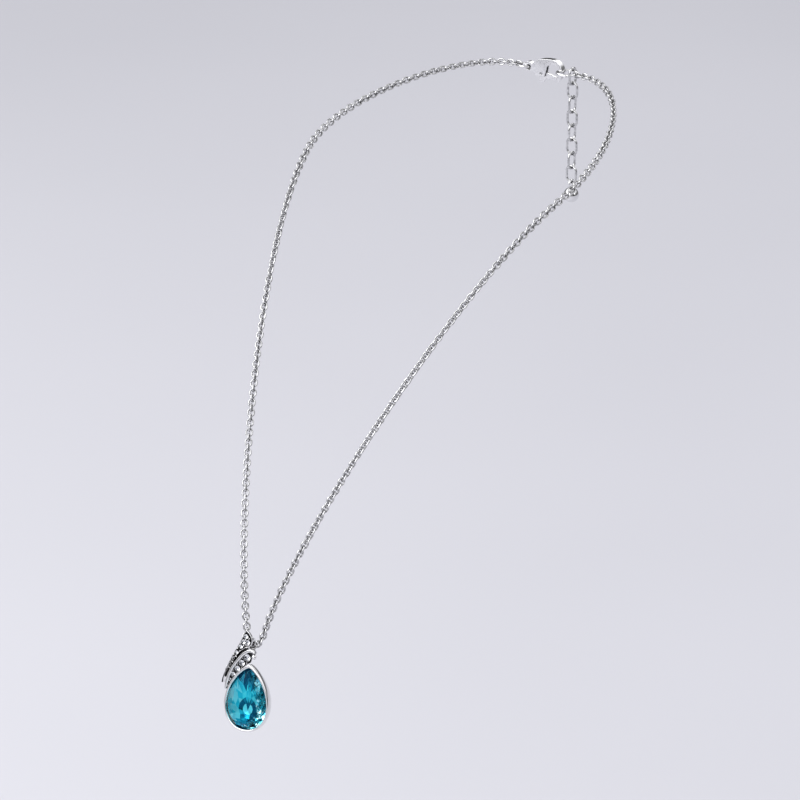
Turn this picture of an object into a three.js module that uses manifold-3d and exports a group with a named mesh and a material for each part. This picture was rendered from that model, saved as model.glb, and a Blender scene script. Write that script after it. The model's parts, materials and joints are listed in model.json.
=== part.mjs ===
// Pendant necklace: a pear crystal in a bezel cup, a stone-set scroll and a folded ribbon bail,
// hung on a fine cable chain that closes at the nape with a lobster clasp and an extender tail.
// Millimetres, +Z up, -Y to the front. The origin is the centre of the bezel cup's flat back.
import * as THREE from 'three';
import { mergeVertices } from 'three/addons/utils/BufferGeometryUtils.js';
import Module from 'manifold-3d';

const wasm = await Module();
wasm.setup();

// ---- driving dimensions ----

const DEG = Math.PI / 180;
const FIT_GAP = 0.15; // between pieces that are soldered or set together

// pendant: local x to the right, local z up its length, its front at negative local y
const PENDANT_LEAN = 12 * DEG;
const PENDANT_YAW = 9 * DEG;

const PEAR_HALF_WIDTH = 6.1;
const PEAR_HALF_LENGTH = 8.45;
const PEAR_PEAK = 0.8624; // largest value of sin(t) * sqrt(sin(t / 2))
const PEAR_STEPS = 40;
const CUP_DEPTH = 4.2;
const CUP_WALL = 0.6;
const CUP_FLOOR = 0.8;
const SEAT_DEPTH = 2.7;

const CRYSTAL_INSET = 0.75; // girdle outline inside the cup's outline
const CRYSTAL_GIRDLE = [-3.1, -3.4];
const CRYSTAL_TABLE_Y = -4.9;
const CRYSTAL_CULET_Y = -1.2;

const SCROLL_BACK = -3.2;
const SCROLL_FLOOR = -3.8;
const SCROLL_FRONT = -4.4;
const RAIL_WIDTH = 0.8;
const BEAD = { x: 1.0, z: 10.45, radius: 0.62 };

const LEAF_BACK = -3.1;
const LEAF_FRONT = -3.95;
const BAIL_X = -1.48;
const BAIL_WIDTH = 1.9;
const BAIL_CENTRE = { y: -1.95, z: 12.82 };
const BAIL_OUTER = 1.85;
const BAIL_INNER = 1.4;
const BAIL_FOOT = [9.0, 9.8];

const SEAT_SINK = 0.45; // how deep a small stone's girdle pocket goes
const SCROLL_STONES = [ // x, z, radius
  [-5.05, 3.72, 0.42],
  [-4.33, 5.2, 0.6],
  [-3.31, 6.81, 0.72],
  [-2.19, 8.4, 0.8],
  [-0.88, 9.95, 0.9],
];
const RIBBON_STONES = [
  [-1.6, 15.15, 0.58],
  [-0.95, 13.8, 0.58],
  [-2.22, 13.68, 0.58],
  [-2.82, 12.43, 0.5],
  [-3.79, 10.83, 0.44],
  [-4.65, 9.21, 0.4],
  [-5.43, 7.66, 0.36],
  [-6.15, 6.11, 0.32],
];

// chain: local origin where the two strands' lines meet, on the necklace's middle plane
const CHAIN_RADIUS = 0.8;
const CHAIN_SIDES = 8;
const CHAIN_ORIGIN_IN_PENDANT = new THREE.Vector3(BAIL_X, BAIL_CENTRE.y, 12.19);
const STRAND_FOOT = new THREE.Vector3(2.6, 2.5, 3.3);
const NECK_SIDE = new THREE.Vector3(38.2, 77.2, 101.3);
const NAPE = new THREE.Vector3(0, 128.6, 116);
const NAPE_HALF_SPAN = 9.4; // the clasp and its rings fill this much each side of the nape
const APEX_GAP = 0.7;
const HINGE_GAP = 0.5;
const SOLID_GAP = 0.3; // between two stretches of one rigid body
const LOWER_ENDS = [0, 19, 38]; // lengths along a strand, from its foot
const MIDDLE_ENDS = [38, 56.5, 75];
const UPPER_ENDS = [75, 93.5, 112];
const NECK_STRETCHES = 4;

// clasp: local u along the nape (+X), v up (+Z), w through its thickness (+Y)
const CLASP_THICK = 1.7;
const CLASP_SLOT = 0.85;
const CLASP_SHIFT = 0.585;
const CLASP_EYE_U = -6.0;
const EYE = { outer: 1.35, hole: 0.75 };
const HOOK = { u: 7.4, outer: 3.0, inner: 2.0 };
const HOOK_TIP_U = 8.7;
const PIVOT = { u: 3.9, v: -1.1 };
const PIN_RADIUS = 0.3;
const PIN_HOLE = 0.36;
const LEVER_THICK = 0.65;
const SPRING = { u: 4.6, low: -0.45, high: 0.85, radius: 0.22, wire: 0.07, turns: 3 };
const SLOT_CEILING = 0.95;
const CLASP_RING = { radius: 1.6, wire: 0.35 };
const END_RING = { radius: 2.6, wire: 0.38, u: 11.4 };

const LINK = { length: 4.4, width: 2.8, wire: 0.3, count: 8 }; // length and width of the wire's centreline
const LINK_PLAY = 0.05;
const DROP = { radius: 2.0, eyeRadius: 1.0, wire: 0.3 };

// ---- materials ----

const finishes = {
  polishedSilver: { color: 0xd6d7da, roughness: 0.12, metalness: 1.0 },
  chainSilver: { color: 0xcfd0d3, roughness: 0.2, metalness: 1.0 },
  springSteel: { color: 0x9a9ca0, roughness: 0.35, metalness: 1.0 },
  tealCrystal: { color: 0x1aa6bd, roughness: 0.04, metalness: 0.0 },
  clearCrystal: { color: 0xeef3f6, roughness: 0.03, metalness: 0.0 },
};

function piece(name, geometry, finish) {
  const mesh = new THREE.Mesh(geometry, new THREE.MeshStandardMaterial(finishes[finish]));
  mesh.name = name;
  return mesh;
}

// ---- solids ----

function solidOf(geometry) {
  const bare = geometry.clone();
  bare.deleteAttribute('normal');
  bare.deleteAttribute('uv');
  const merged = mergeVertices(bare, 1e-5);
  return new wasm.Manifold(new wasm.Mesh({
    numProp: 3,
    vertProperties: new Float32Array(merged.attributes.position.array),
    triVerts: new Uint32Array(merged.index.array),
  }));
}

function geometryOf(solid) {
  const mesh = solid.getMesh();
  const geometry = new THREE.BufferGeometry();
  geometry.setAttribute('position', new THREE.BufferAttribute(mesh.vertProperties, 3));
  geometry.setIndex(new THREE.BufferAttribute(mesh.triVerts, 1));
  return geometry;
}

function circlePoints(radius, sides) {
  const points = [];
  for (let i = 0; i < sides; i++) {
    const a = (2 * Math.PI * i) / sides;
    points.push(new THREE.Vector2(radius * Math.cos(a), radius * Math.sin(a)));
  }
  return points;
}

// a plate whose outline lies in the local x-z plane, between two local y values
function plate(shape, yFront, yBack, curveSegments = 6) {
  const options = { depth: yBack - yFront, bevelEnabled: false, curveSegments };
  const geometry = new THREE.ExtrudeGeometry(shape, options);
  geometry.rotateX(Math.PI / 2);
  geometry.translate(0, yBack, 0);
  return geometry;
}

// a round bar along local y
function barAlongY(x, z, radius, yFront, yBack, sides = 16) {
  const geometry = new THREE.CylinderGeometry(radius, radius, yBack - yFront, sides);
  geometry.translate(x, (yFront + yBack) / 2, z);
  return geometry;
}

function tube(curve, radius, sides, steps) {
  const section = new THREE.Shape(circlePoints(radius, sides));
  return new THREE.ExtrudeGeometry(section, { steps, bevelEnabled: false, extrudePath: curve });
}

// a solid through a stack of rings with equal point counts, closed flat over its first and last ring
function loft(rings) {
  const count = rings[0].length;
  const positions = rings.flat().flatMap((p) => [p.x, p.y, p.z]);
  const index = [];
  for (let r = 0; r + 1 < rings.length; r++) {
    for (let i = 0; i < count; i++) {
      const j = (i + 1) % count;
      const a = r * count + i;
      const b = r * count + j;
      index.push(a, b, a + count, b, b + count, a + count);
    }
  }
  const last = (rings.length - 1) * count;
  const capShape = rings[0].map((p) => new THREE.Vector2(p.x, p.z));
  for (const [a, b, c] of THREE.ShapeUtils.triangulateShape(capShape, [])) {
    index.push(a, c, b);
    index.push(last + a, last + b, last + c);
  }
  const geometry = new THREE.BufferGeometry();
  geometry.setAttribute('position', new THREE.Float32BufferAttribute(positions, 3));
  geometry.setIndex(index);
  return geometry;
}

// ---- pear outline ----

// points run anticlockwise as seen from the front
function pearRing(inset, y, steps = PEAR_STEPS) {
  const amplitude = (PEAR_HALF_WIDTH - inset) / PEAR_PEAK;
  const top = PEAR_HALF_LENGTH - 1.6 * inset; // the pointed end draws in faster than the sides
  const bottom = inset - PEAR_HALF_LENGTH;
  const ring = [];
  for (let i = 0; i < steps; i++) {
    const t = (2 * Math.PI * i) / steps;
    const x = -amplitude * Math.sin(t) * Math.sqrt(Math.sin(t / 2));
    const z = (top + bottom) / 2 + ((top - bottom) / 2) * Math.cos(t);
    ring.push(new THREE.Vector3(x, y, z));
  }
  return ring;
}

function pearBlank(outset, yFront, yBack) {
  return loft([pearRing(-outset, yBack), pearRing(-outset, yFront)]);
}

// ---- pendant ----

function bezelCup() {
  return loft([
    pearRing(1.4, 0),
    pearRing(1.05, -0.25),
    pearRing(0.35, -1.9),
    pearRing(0.05, -3.0),
    pearRing(0, -CUP_DEPTH + 0.3),
    pearRing(0.12, -CUP_DEPTH),
    pearRing(CUP_WALL - 0.1, -CUP_DEPTH),
    pearRing(CUP_WALL, -CUP_DEPTH + 0.2),
    pearRing(CUP_WALL, -SEAT_DEPTH),
    pearRing(CUP_WALL + 0.6, -SEAT_DEPTH),
    pearRing(CUP_WALL + 1.4, -CUP_FLOOR),
  ]);
}

function centreCrystal() {
  const steps = 24;
  return loft([
    pearRing(5.2, CRYSTAL_CULET_Y, steps),
    pearRing(2.6, -2.2, steps),
    pearRing(CRYSTAL_INSET, CRYSTAL_GIRDLE[0], steps),
    pearRing(CRYSTAL_INSET, CRYSTAL_GIRDLE[1], steps),
    pearRing(CRYSTAL_INSET + 1.2, CRYSTAL_GIRDLE[1] - 0.95, steps),
    pearRing(CRYSTAL_INSET + 2.5, CRYSTAL_TABLE_Y, steps),
  ]);
}

// an eight-sided brilliant, its table to the front
function smallStone([x, z, radius], seatFloor) {
  const culet = seatFloor - 0.08;
  const girdle = culet - 0.55 * radius;
  const profile = [
    [0, culet],
    [radius, girdle],
    [radius, girdle - 0.08],
    [0.58 * radius, girdle - 0.08 - 0.32 * radius],
    [0, girdle - 0.08 - 0.32 * radius],
  ];
  const geometry = new THREE.LatheGeometry(profile.map(([r, y]) => new THREE.Vector2(r, -y)), 8);
  geometry.rotateX(Math.PI);
  geometry.translate(x, 0, z);
  return geometry;
}

function withSeats(solid, stones, front) {
  let cut = solid;
  for (const [x, z, radius] of stones) {
    const pocket = barAlongY(x, z, radius + 0.12, front - 1, front + SEAT_SINK, 12);
    cut = cut.subtract(solidOf(pocket));
  }
  return cut;
}

function scrollEdge() {
  return new THREE.SplineCurve([
    new THREE.Vector2(-6.26, 1.43),
    new THREE.Vector2(-6.14, 3.71),
    new THREE.Vector2(-4.96, 7.06),
    new THREE.Vector2(-2.75, 10.4),
    new THREE.Vector2(-1.21, 11.8),
    new THREE.Vector2(0.01, 12.27),
    new THREE.Vector2(0.99, 11.99),
    new THREE.Vector2(1.36, 11.36),
  ]);
}

// a strip to the right of a curve, thinning to a point where the curve starts
function stripShape(curve, width, steps) {
  const outer = [];
  const inner = [];
  for (let i = 0; i <= steps; i++) {
    const p = curve.getPointAt(i / steps);
    const side = curve.getTangentAt(i / steps);
    const reach = width * Math.min(1, 0.3 + (4 * i) / steps);
    outer.push(p);
    inner.push(new THREE.Vector2(p.x + side.y * reach, p.y - side.x * reach));
  }
  return new THREE.Shape([...outer, ...inner.reverse()]);
}

function scrollFloorShape() {
  const outline = scrollEdge().getSpacedPoints(28);
  for (const [x, z] of [[0.96, 11.26], [0.25, 10.85], [0.25, 9.3], [0.2, 8.3], [-1.9, 5.0], [-5.0, 1.75]]) {
    outline.push(new THREE.Vector2(x, z));
  }
  return new THREE.Shape(outline);
}

function scrollBand() {
  const rail = solidOf(plate(stripShape(scrollEdge(), RAIL_WIDTH, 28), SCROLL_FRONT, SCROLL_BACK));
  const floor = solidOf(plate(scrollFloorShape(), SCROLL_FLOOR, SCROLL_BACK));
  const cup = solidOf(pearBlank(FIT_GAP, -CUP_DEPTH - 1, 1));
  const band = rail.add(floor).subtract(cup);
  return geometryOf(withSeats(band, SCROLL_STONES, SCROLL_FLOOR));
}

function scrollBead() {
  const geometry = new THREE.SphereGeometry(BEAD.radius, 12, 8);
  geometry.translate(BEAD.x, SCROLL_FRONT + BEAD.radius - 0.1, BEAD.z);
  return geometry;
}

function leafShape() {
  const shape = new THREE.Shape();
  shape.moveTo(-7.26, 2.71);
  shape.splineThru([
    new THREE.Vector2(-6.94, 4.65),
    new THREE.Vector2(-5.4, 9.0),
    new THREE.Vector2(-3.4, 13.07),
    new THREE.Vector2(-1.85, 16.81),
  ]);
  shape.splineThru([
    new THREE.Vector2(-0.43, 15.55),
    new THREE.Vector2(0.09, 14.07),
    new THREE.Vector2(-0.46, 12.72),
    new THREE.Vector2(-1.68, 12.2),
  ]);
  shape.splineThru([
    new THREE.Vector2(-3.61, 10.42),
    new THREE.Vector2(-5.63, 7.11),
    new THREE.Vector2(-6.72, 4.21),
    new THREE.Vector2(-6.87, 2.72),
  ]);
  return shape;
}

// the strap's outline seen from the side: over the top of the chain, down the back, and a foot
function strapShape() {
  const { y, z } = BAIL_CENTRE;
  const shape = new THREE.Shape();
  shape.moveTo(y - BAIL_OUTER, z);
  shape.absarc(y, z, BAIL_OUTER, Math.PI, 0, true);
  shape.lineTo(y + BAIL_OUTER, BAIL_FOOT[0]);
  shape.lineTo(SCROLL_BACK + FIT_GAP, BAIL_FOOT[0]);
  shape.lineTo(SCROLL_BACK + FIT_GAP, BAIL_FOOT[1]);
  shape.lineTo(y + BAIL_INNER, BAIL_FOOT[1]);
  shape.lineTo(y + BAIL_INNER, z);
  shape.absarc(y, z, BAIL_INNER, 0, Math.PI, false);
  return shape;
}

function bailStrap() {
  const options = { depth: BAIL_WIDTH, bevelEnabled: false, curveSegments: 16 };
  const geometry = new THREE.ExtrudeGeometry(strapShape(), options);
  // the outline's (y, z, along) becomes (along, y, z)
  geometry.applyMatrix4(new THREE.Matrix4().makeBasis(
    new THREE.Vector3(0, 1, 0),
    new THREE.Vector3(0, 0, 1),
    new THREE.Vector3(1, 0, 0),
  ));
  geometry.translate(BAIL_X - BAIL_WIDTH / 2, 0, 0);
  return geometry;
}

function ribbonBail() {
  const leaf = solidOf(plate(leafShape(), LEAF_FRONT, LEAF_BACK, 5));
  const cup = solidOf(pearBlank(FIT_GAP, -CUP_DEPTH - 1, 1));
  const ribbon = leaf.add(solidOf(bailStrap())).subtract(cup);
  return geometryOf(withSeats(ribbon, RIBBON_STONES, LEAF_FRONT));
}

function pendant() {
  const group = new THREE.Group();
  group.rotation.set(-PENDANT_LEAN, 0, PENDANT_YAW, 'ZXY');
  group.add(piece('bezel_cup', bezelCup(), 'polishedSilver'));
  group.add(piece('centre_crystal', centreCrystal(), 'tealCrystal'));
  group.add(piece('scroll_band', scrollBand(), 'polishedSilver'));
  group.add(piece('scroll_bead', scrollBead(), 'polishedSilver'));
  group.add(piece('ribbon_bail', ribbonBail(), 'polishedSilver'));
  SCROLL_STONES.forEach((stone, i) => {
    const geometry = smallStone(stone, SCROLL_FLOOR + SEAT_SINK);
    group.add(piece(`scroll_stone_${i + 1}`, geometry, 'clearCrystal'));
  });
  RIBBON_STONES.forEach((stone, i) => {
    const geometry = smallStone(stone, LEAF_FRONT + SEAT_SINK);
    group.add(piece(`ribbon_stone_${i + 1}`, geometry, 'clearCrystal'));
  });
  return group;
}

// ---- chain ----

// part of another curve, between two lengths along it
class Stretch extends THREE.Curve {
  constructor(whole, from, to) {
    super();
    this.whole = whole;
    this.from = from / whole.getLength();
    this.to = to / whole.getLength();
  }

  getPoint(t, target = new THREE.Vector3()) {
    return target.copy(this.whole.getPointAt(THREE.MathUtils.lerp(this.from, this.to, t)));
  }
}

// one strand from its foot at the pendant, up the chest and round the neck to the nape;
// side is 1 for the strand on +X and -1 for the other
function strandCurve(side) {
  const at = (x, y, z) => new THREE.Vector3(side * x, y, z);
  const foot = at(...STRAND_FOOT);
  const neck = at(...NECK_SIDE);
  const chest = new THREE.CubicBezierCurve3(foot, at(9.2, 6.8, 29.6), at(30.8, 45.6, 87.1), neck);
  const leave = chest.getTangent(1).multiplyScalar(21).add(neck);
  const end = at(NAPE_HALF_SPAN, NAPE.y, NAPE.z);
  const round = new THREE.CubicBezierCurve3(neck, leave, at(27, NAPE.y, NAPE.z), end);
  const path = new THREE.CurvePath();
  path.add(chest);
  path.add(round);
  return path;
}

// the short bend that carries the bail, from one strand's foot to the other's
function apexCurve() {
  const right = new THREE.CubicBezierCurve3(
    new THREE.Vector3(0, 0, 0.55),
    new THREE.Vector3(2.6, -0.1, 0.55),
    new THREE.Vector3(2.3, 1.7, 1.2),
    STRAND_FOOT,
  );
  const mirrored = [right.v3, right.v2, right.v1, right.v0].map((p) => p.clone().setX(-p.x));
  const path = new THREE.CurvePath();
  path.add(new THREE.CubicBezierCurve3(...mirrored));
  path.add(right);
  return path;
}

function chainTube(curve, from, to, steps) {
  return tube(new Stretch(curve, from, to), CHAIN_RADIUS, CHAIN_SIDES, steps);
}

// the solids of one rigid body, whose outer ends leave half a hinge gap
function bodyStretches(curve, name, ends, gapAtStart, gapAtEnd) {
  const meshes = [];
  for (let i = 0; i + 1 < ends.length; i++) {
    const from = ends[i] + (i === 0 ? gapAtStart : SOLID_GAP) / 2;
    const to = ends[i + 1] - (i + 2 === ends.length ? gapAtEnd : SOLID_GAP) / 2;
    meshes.push(piece(`${name}_${i + 1}`, chainTube(curve, from, to, 6), 'chainSilver'));
  }
  return meshes;
}

function strand(side, sideName) {
  const curve = strandCurve(side);
  const neckStart = UPPER_ENDS[UPPER_ENDS.length - 1];
  const neckEnds = [];
  for (let i = 0; i <= NECK_STRETCHES; i++) {
    neckEnds.push(THREE.MathUtils.lerp(neckStart, curve.getLength(), i / NECK_STRETCHES));
  }
  return [
    ...bodyStretches(curve, `chain_${sideName}_lower`, LOWER_ENDS, APEX_GAP, HINGE_GAP),
    ...bodyStretches(curve, `chain_${sideName}_middle`, MIDDLE_ENDS, HINGE_GAP, HINGE_GAP),
    ...bodyStretches(curve, `chain_${sideName}_upper`, UPPER_ENDS, HINGE_GAP, HINGE_GAP),
    ...bodyStretches(curve, `chain_${sideName}_neck`, neckEnds, HINGE_GAP, 0),
  ];
}

function chain() {
  const group = new THREE.Group();
  const apex = apexCurve();
  const apexTube = chainTube(apex, APEX_GAP / 2, apex.getLength() - APEX_GAP / 2, 20);
  group.add(piece('chain_apex', apexTube, 'chainSilver'));
  group.add(...strand(-1, 'left'), ...strand(1, 'right'));
  return group;
}

// ---- clasp ----

function flatRing({ radius, wire }, u) {
  const geometry = new THREE.TorusGeometry(radius, wire, 6, 24);
  geometry.translate(u, 0, 0);
  return geometry;
}

function claspOutline() {
  const shape = new THREE.Shape();
  const tipAngle = Math.acos((HOOK_TIP_U - HOOK.u) / HOOK.outer);
  const innerTipAngle = Math.acos((HOOK_TIP_U - HOOK.u) / HOOK.inner);
  const eyeStart = 40 * DEG;
  shape.absarc(HOOK.u, 0, HOOK.outer, -tipAngle, Math.PI / 2, false);
  shape.quadraticCurveTo(2.6, HOOK.outer, EYE.outer * Math.cos(eyeStart), EYE.outer * Math.sin(eyeStart));
  shape.absarc(0, 0, EYE.outer, eyeStart, -eyeStart, false);
  shape.lineTo(2.4, -2.0);
  shape.lineTo(4.9, -1.9);
  shape.lineTo(HOOK.u - HOOK.inner, 0);
  shape.absarc(HOOK.u, 0, HOOK.inner, Math.PI, -innerTipAngle, true);
  return shape;
}

function claspBody() {
  const half = CLASP_THICK / 2;
  const body = solidOf(plate(claspOutline(), -half, half, 12));
  const eye = solidOf(barAlongY(0, 0, EYE.hole, -half - 1, half + 1));
  const pinHole = solidOf(barAlongY(PIVOT.u, PIVOT.v, PIN_HOLE, -half - 1, half + 1));
  const slotBox = new THREE.BoxGeometry(3.6, CLASP_SLOT, SLOT_CEILING + 4);
  slotBox.translate(4.0, 0, (SLOT_CEILING - 4) / 2);
  return geometryOf(body.subtract(eye).subtract(pinHole).subtract(solidOf(slotBox)));
}

function claspLever() {
  const outline = [
    [3.2, -0.75], [4.3, -0.6], [6.4, -1.0], [8.42, -1.55], [8.3, -2.4],
    [5.2, -2.3], [4.5, -3.4], [3.3, -3.6], [3.0, -3.2],
  ].map(([u, v]) => new THREE.Vector2(u, v));
  const half = LEVER_THICK / 2;
  const lever = solidOf(plate(new THREE.Shape(outline), -half, half));
  return geometryOf(lever.subtract(solidOf(barAlongY(PIVOT.u, PIVOT.v, PIN_HOLE, -half - 1, half + 1))));
}

class Helix extends THREE.Curve {
  getPoint(t, target = new THREE.Vector3()) {
    const a = 2 * Math.PI * SPRING.turns * t;
    const v = THREE.MathUtils.lerp(SPRING.low + SPRING.wire, SPRING.high - SPRING.wire, t);
    return target.set(SPRING.u + SPRING.radius * Math.cos(a), SPRING.radius * Math.sin(a), v);
  }
}

function clasp() {
  const group = new THREE.Group();
  const half = CLASP_THICK / 2;
  group.position.x = CLASP_EYE_U;
  group.add(piece('clasp_body', claspBody(), 'polishedSilver'));
  group.add(piece('clasp_lever', claspLever(), 'polishedSilver'));
  const pin = barAlongY(PIVOT.u, PIVOT.v, PIN_RADIUS, -half, half);
  group.add(piece('clasp_lever_pin', pin, 'springSteel'));
  group.add(piece('clasp_spring', tube(new Helix(), SPRING.wire, 5, 36), 'springSteel'));
  group.add(piece('clasp_ring', flatRing(CLASP_RING, -CLASP_RING.radius), 'polishedSilver'));
  group.add(piece('end_ring', flatRing(END_RING, END_RING.u), 'polishedSilver'));
  return group;
}

// ---- extender tail, hung on the back of the end ring ----

// the centreline of an oval link in the local x-z plane
class LinkLoop extends THREE.Curve {
  getPoint(t, target = new THREE.Vector3()) {
    const bend = LINK.width / 2;
    const straight = LINK.length - LINK.width;
    const total = 2 * straight + 2 * Math.PI * bend;
    let s = t * total;
    if (s < straight) return target.set(bend, 0, s - straight / 2);
    s -= straight;
    if (s < Math.PI * bend) {
      return target.set(bend * Math.cos(s / bend), 0, straight / 2 + bend * Math.sin(s / bend));
    }
    s -= Math.PI * bend;
    if (s < straight) return target.set(-bend, 0, straight / 2 - s);
    s -= straight;
    return target.set(-bend * Math.cos(s / bend), 0, -straight / 2 - bend * Math.sin(s / bend));
  }
}

// a wire of round section bent along a closed flat loop
function closedWire(loop, wire, steps, sides = 6) {
  const rings = [];
  for (let i = 0; i < steps; i++) {
    const centre = loop.getPointAt(i / steps);
    const along = loop.getTangentAt(i / steps);
    const out = new THREE.Vector3(0, 1, 0).cross(along);
    rings.push(circlePoints(wire, sides).map((c) => centre.clone()
      .addScaledVector(out, c.x).add(new THREE.Vector3(0, c.y, 0))));
  }
  const index = [];
  for (let r = 0; r < steps; r++) {
    for (let i = 0; i < sides; i++) {
      const j = (i + 1) % sides;
      const next = (r + 1) % steps;
      const [a, b] = [r * sides + i, r * sides + j];
      const [c, d] = [next * sides + i, next * sides + j];
      index.push(a, b, c, b, d, c);
    }
  }
  const geometry = new THREE.BufferGeometry();
  const positions = rings.flat().flatMap((p) => [p.x, p.y, p.z]);
  geometry.setAttribute('position', new THREE.Float32BufferAttribute(positions, 3));
  geometry.setIndex(index);
  return geometry;
}

function extenderDrop() {
  const eye = new THREE.TorusGeometry(DROP.eyeRadius, DROP.wire, 6, 18);
  eye.rotateY(Math.PI / 2);
  const ball = new THREE.SphereGeometry(DROP.radius, 16, 10);
  ball.rotateX(Math.PI / 2);
  ball.translate(0, 0, -DROP.eyeRadius - DROP.radius);
  return geometryOf(solidOf(eye).add(solidOf(ball)));
}

function extender() {
  const group = new THREE.Group();
  const pitch = LINK.length - 2 * LINK.wire - LINK_PLAY;
  const firstTop = END_RING.wire + LINK.wire + LINK_PLAY;
  for (let i = 0; i < LINK.count; i++) {
    const link = piece(`extender_link_${i + 1}`, closedWire(new LinkLoop(), LINK.wire, 18), 'chainSilver');
    link.rotation.z = i % 2 === 0 ? Math.PI / 2 : 0;
    link.position.z = firstTop - LINK.length / 2 - i * pitch;
    group.add(link);
  }
  const lastBottom = firstTop - LINK.length - (LINK.count - 1) * pitch;
  const drop = piece('extender_drop', extenderDrop(), 'polishedSilver');
  drop.position.z = lastBottom + LINK.wire + DROP.wire + LINK_PLAY - DROP.eyeRadius;
  group.add(drop);
  group.position.set(CLASP_EYE_U + END_RING.u, END_RING.radius, 0);
  return group;
}

// ---- assembly ----

function napeFittings() {
  const group = new THREE.Group();
  group.position.copy(NAPE).add(new THREE.Vector3(CLASP_SHIFT, 0, 0));
  group.add(clasp(), extender());
  return group;
}

function necklace() {
  const group = new THREE.Group();
  const hungPendant = pendant();
  const chainAndClasp = new THREE.Group();
  chainAndClasp.position.copy(CHAIN_ORIGIN_IN_PENDANT).applyEuler(hungPendant.rotation);
  chainAndClasp.add(chain(), napeFittings());
  group.add(hungPendant, chainAndClasp);
  return group;
}

export default necklace();
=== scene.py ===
import json
import math
import random

import bmesh
import bpy
from mathutils import Matrix, Vector


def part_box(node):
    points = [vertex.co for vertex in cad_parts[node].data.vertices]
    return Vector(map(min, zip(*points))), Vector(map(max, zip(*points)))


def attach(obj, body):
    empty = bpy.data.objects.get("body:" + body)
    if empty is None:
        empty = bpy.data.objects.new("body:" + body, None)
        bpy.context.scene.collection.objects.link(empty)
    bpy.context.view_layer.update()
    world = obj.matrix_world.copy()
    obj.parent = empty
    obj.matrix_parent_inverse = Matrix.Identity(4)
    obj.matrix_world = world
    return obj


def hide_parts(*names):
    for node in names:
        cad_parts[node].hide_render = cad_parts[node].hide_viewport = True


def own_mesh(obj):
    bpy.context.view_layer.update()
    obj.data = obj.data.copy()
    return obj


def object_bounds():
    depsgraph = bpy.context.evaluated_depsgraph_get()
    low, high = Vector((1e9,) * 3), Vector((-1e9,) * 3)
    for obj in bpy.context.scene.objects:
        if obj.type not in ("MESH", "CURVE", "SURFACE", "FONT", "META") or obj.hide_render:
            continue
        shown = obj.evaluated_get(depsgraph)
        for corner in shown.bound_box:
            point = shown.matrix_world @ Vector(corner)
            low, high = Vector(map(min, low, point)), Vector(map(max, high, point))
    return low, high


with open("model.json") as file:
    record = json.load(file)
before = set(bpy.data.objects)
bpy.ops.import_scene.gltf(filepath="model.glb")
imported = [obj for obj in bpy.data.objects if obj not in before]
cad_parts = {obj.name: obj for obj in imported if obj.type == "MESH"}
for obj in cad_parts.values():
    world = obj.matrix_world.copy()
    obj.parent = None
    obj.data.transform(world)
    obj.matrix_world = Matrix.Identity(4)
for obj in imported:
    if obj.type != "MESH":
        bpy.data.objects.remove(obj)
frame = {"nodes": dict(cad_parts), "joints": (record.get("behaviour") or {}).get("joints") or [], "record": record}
CAD_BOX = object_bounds()

# ---- sizes, in millimetres unless a name says otherwise, as the CAD part has them ----

MM = 0.001
DEG = math.pi / 180

PENDANT_LEAN = 12 * DEG
PENDANT_YAW = 9 * DEG
PEAR_HALF_WIDTH = 6.1
PEAR_HALF_LENGTH = 8.45
PEAR_PEAK = 0.8624  # largest value of sin(t) * sqrt(sin(t / 2))
CUP_DEPTH = 4.2
CUP_WALL = 0.6
SEAT_DEPTH = 2.7
CRYSTAL_INSET = 0.72
CRYSTAL_GIRDLE = (-3.15, -3.4)  # its back and front y
CRYSTAL_TABLE_Y = -4.75
CULET = Vector((-0.1, -1.3, -3.4))  # the pavilion's point

SCROLL_BACK = -3.2
SCROLL_FLOOR = -3.45
SCROLL_FRONT = -4.4
RAIL_WIDTH = 0.85
BEAD = Vector((1.0, -3.88, 10.45))  # its centre
BEAD_RADIUS = 0.62
SCROLL_TIP = (-5.72, 2.2)  # x, z
LEAF_BACK = -3.1
LEAF_FLOOR = -3.72
LEAF_FRONT = -3.95
BAIL_X = -1.48
BAIL_WIDTH = 1.9
BAIL_CENTRE_Y = -1.95
BAIL_CENTRE_Z = 12.82
BAIL_RADIUS = 1.62  # to the middle of the strap
BAIL_THICK = 0.45
BAIL_FOOT_Z = 9.4
SCROLL_STONES = [  # x, z, radius
    (-5.05, 3.72, 0.42),
    (-4.33, 5.2, 0.6),
    (-3.31, 6.81, 0.72),
    (-2.19, 8.4, 0.8),
    (-0.88, 9.95, 0.9),
]
RIBBON_STONES = [
    (-1.6, 15.15, 0.58),
    (-0.95, 13.8, 0.58),
    (-2.22, 13.68, 0.58),
    (-2.82, 12.43, 0.5),
    (-3.79, 10.83, 0.44),
    (-4.65, 9.21, 0.4),
    (-5.43, 7.66, 0.36),
    (-6.15, 6.11, 0.32),
]

APEX_RISE = 0.55  # the bail's chain above the point where the strands' lines meet
STRAND_FOOT = Vector((2.6, 2.5, 3.3))
STRAND_AIM = Vector((9.2, 6.8, 29.6))  # the strand leaves its foot towards this point
NECK_SIDE = Vector((38.2, 77.2, 101.3))
NAPE = Vector((0, 128.6, 116))
NAPE_HALF_SPAN = 9.4  # from the nape's middle to where each strand ends
NECK_AXIS_Y = 92.0  # the upright line that the chain goes round
STATIONS = [0, 38, 75, 112]  # lengths along a strand at which it bends
LINK_PITCH = 1.28
LINK_WIRE = 0.22  # radius
LINK_WIDTH = 1.96
LINK_PLAY = 0.2  # slack between two links, so that they can turn on each other
LAST_LINK_REACH = 1.17  # the last link goes on past the cord's end, round the ring

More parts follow.
